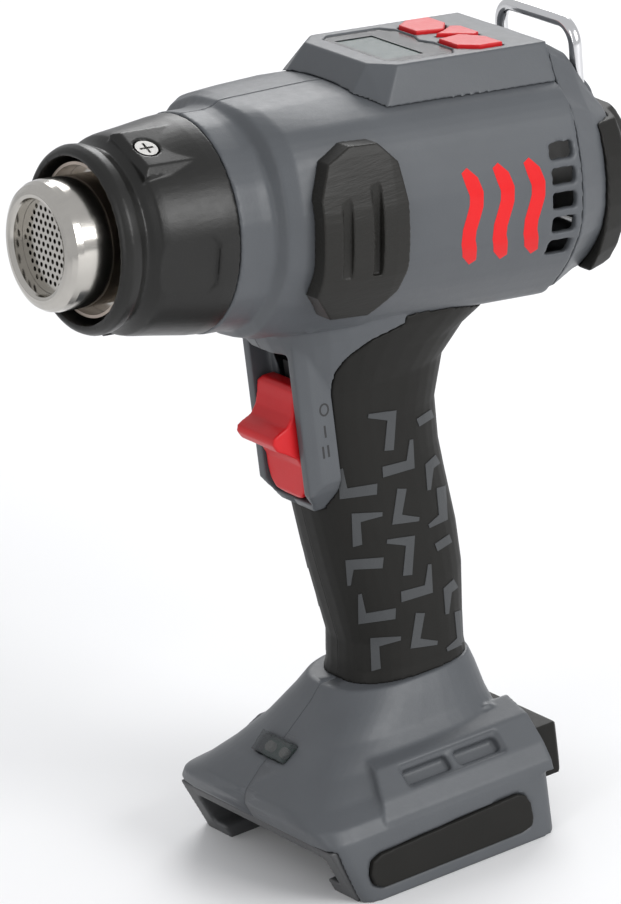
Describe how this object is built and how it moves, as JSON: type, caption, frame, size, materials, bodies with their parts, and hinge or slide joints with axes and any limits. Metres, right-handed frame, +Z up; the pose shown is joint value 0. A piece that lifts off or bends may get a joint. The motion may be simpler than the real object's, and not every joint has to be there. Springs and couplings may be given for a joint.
{
  "type": "cordless heat gun",
  "caption": "Pistol-grip cordless heat gun, battery removed: steel nozzle in a round guard, slide switch in the handle, display with keys on top, flip-up hook, wide battery foot.",
  "frame": {"origin": "centre of the outer box, on the plane the foot stands on", "axes": "+X to the nozzle side, +Y to the tool's left, +Z up; the barrel points 8 degrees up from +X"},
  "size_m": [0.1786, 0.086, 0.2195],
  "materials": {
    "shell": "fine grained dark grey nylon",
    "overmould": "soft matt black",
    "guard": "satin black",
    "bright_steel": "turned and polished",
    "steel": "plain",
    "hook_wire": "drawn wire",
    "dark_screw": "blackened",
    "ceramic": "unglazed",
    "mica": "flaky",
    "coil": "oxidised wire",
    "aluminium": "plain",
    "black_plastic": "plain",
    "copper": "lacquered windings",
    "magnet": "ferrite",
    "bronze": "sintered",
    "seal": "silicone",
    "gloss_black": "glossy",
    "window": "clear",
    "lcd": "grey-green",
    "board": "solder mask",
    "red_plastic": "satin red",
    "grey_rubber": "matt",
    "receiver": "plain dark grey",
    "blade": "bright",
    "lead": "insulated wire",
    "lens": "frosted",
    "led": "phosphor"
  },
  "bodies": {
    "tool": {"housing_left": "shell", "housing_right": "shell", "grip_left": "overmould", "grip_right": "overmould", "nozzle_guard": "guard", "guard_screws": "steel", "nozzle_tube": "bright_steel", "nozzle_grille": "bright_steel", "heat_tube": "steel", "mica_sleeve": "mica", "heater_former": "ceramic", "heating_coil": "coil", "heater_end_plate": "ceramic", "thermal_cutout": "aluminium", "thermocouple": "steel", "air_duct": "black_plastic", "duct_seal": "seal", "motor_can": "steel", "motor_magnets": "magnet", "motor_bearings": "bronze", "motor_end_cap": "black_plastic", "motor_mount": "black_plastic", "motor_screws": "steel", "display_pod": "shell", "display_bezel": "gloss_black", "display_window": "window", "lcd_panel": "lcd", "display_board": "board", "keypad": "grey_rubber", "rear_cap": "shell", "rear_bumper": "overmould", "hook_bracket": "black_plastic", "intake_screen": "steel", "side_pad_left": "overmould", "side_pad_right": "overmould", "switch_body": "black_plastic", "detent_spring": "steel", "control_board": "board", "heat_sink": "aluminium", "power_leads": "lead", "battery_receiver": "receiver", "terminal_block": "black_plastic", "terminal_blades": "blade", "led_lens": "lens", "led_board": "board", "leds": "led", "foot_pad_left": "overmould", "foot_pad_right": "overmould", "foot_bumper": "overmould", "housing_screws": "dark_screw"},
    "rotor": {"fan_impeller": "black_plastic", "motor_shaft": "steel", "motor_armature": "copper"},
    "slider": {"switch_slider": "red_plastic"},
    "key_up": {"button_up": "red_plastic"},
    "key_mode": {"button_mode": "red_plastic"},
    "key_down": {"button_down": "red_plastic"},
    "hook": {"hang_hook": "hook_wire"}
  },
  "joints": [
    {"name": "fan_spin", "type": "hinge", "parent": "tool", "child": "rotor", "pos_m": [-0.00825, 0, 0.18], "axis": [0.9903, 0, 0.1392], "continuous": true},
    {"name": "switch_slide", "type": "slide", "parent": "tool", "child": "slider", "axis": [0, 0, 1], "range_m": [0, 0.0098]},
    {"name": "key_up_press", "type": "slide", "parent": "tool", "child": "key_up", "axis": [0.1392, 0, -0.9903], "range_m": [0, 0.0008], "stiffness_N_per_m": 600, "springref_m": -0.001},
    {"name": "key_mode_press", "type": "slide", "parent": "tool", "child": "key_mode", "axis": [0.1392, 0, -0.9903], "range_m": [0, 0.0008], "stiffness_N_per_m": 600, "springref_m": -0.001},
    {"name": "key_down_press", "type": "slide", "parent": "tool", "child": "key_down", "axis": [0.1392, 0, -0.9903], "range_m": [0, 0.0008], "stiffness_N_per_m": 600, "springref_m": -0.001},
    {"name": "hook_fold", "type": "hinge", "parent": "tool", "child": "hook", "pos_m": [-0.07476, 0, 0.18984], "axis": [0, -1, 0], "range_deg": [0, 75]}
  ]
}
